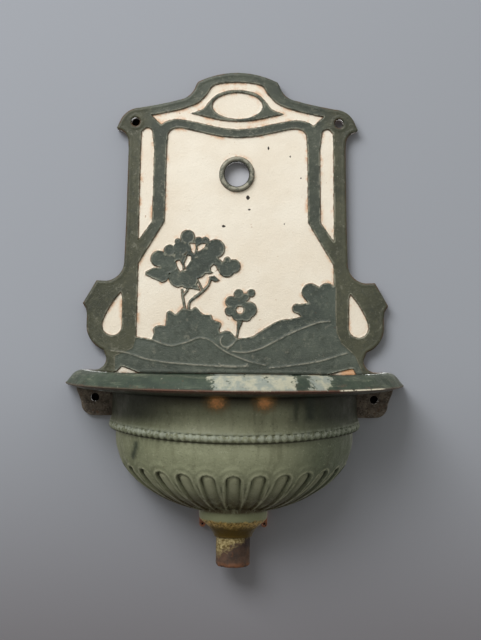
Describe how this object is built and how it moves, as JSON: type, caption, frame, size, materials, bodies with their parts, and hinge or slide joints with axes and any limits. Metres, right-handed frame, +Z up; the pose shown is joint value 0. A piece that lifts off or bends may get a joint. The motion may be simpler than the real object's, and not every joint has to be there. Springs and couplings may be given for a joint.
{
  "type": "wall fountain",
  "caption": "Cast-iron wall drinking fountain: arched relief back plate on a half-round basin with a beaded, fluted bowl, bell neck and drain pipe.",
  "frame": {"origin": "midway between the basin's two wall holes, on the wall plane", "axes": "+Z up, +Y into the wall, so the basin stands out towards -Y; +X to the viewer's right"},
  "size_m": [0.423, 0.2115, 0.6123],
  "materials": {
    "plate_paint": "old dark green and cream paint, worn and rusty at the edges",
    "basin_paint": "old moss green paint, chalky and limescaled",
    "rusty_iron": "bare rusted iron",
    "strainer_brass": "tarnished",
    "fastener_steel": "dull, lightly rusted"
  },
  "bodies": {
    "fountain": {"back_plate": "plate_paint", "basin": "basin_paint", "drain_pipe": "rusty_iron", "plate_bolts": "fastener_steel", "plate_washers": "fastener_steel", "plate_nuts": "fastener_steel"},
    "strainer": {"drain_strainer": "strainer_brass"}
  },
  "joints": [
    {"name": "strainer_lift", "type": "slide", "parent": "fountain", "child": "strainer", "axis": [0, 0, 1], "range_m": [0, 0.19]}
  ]
}
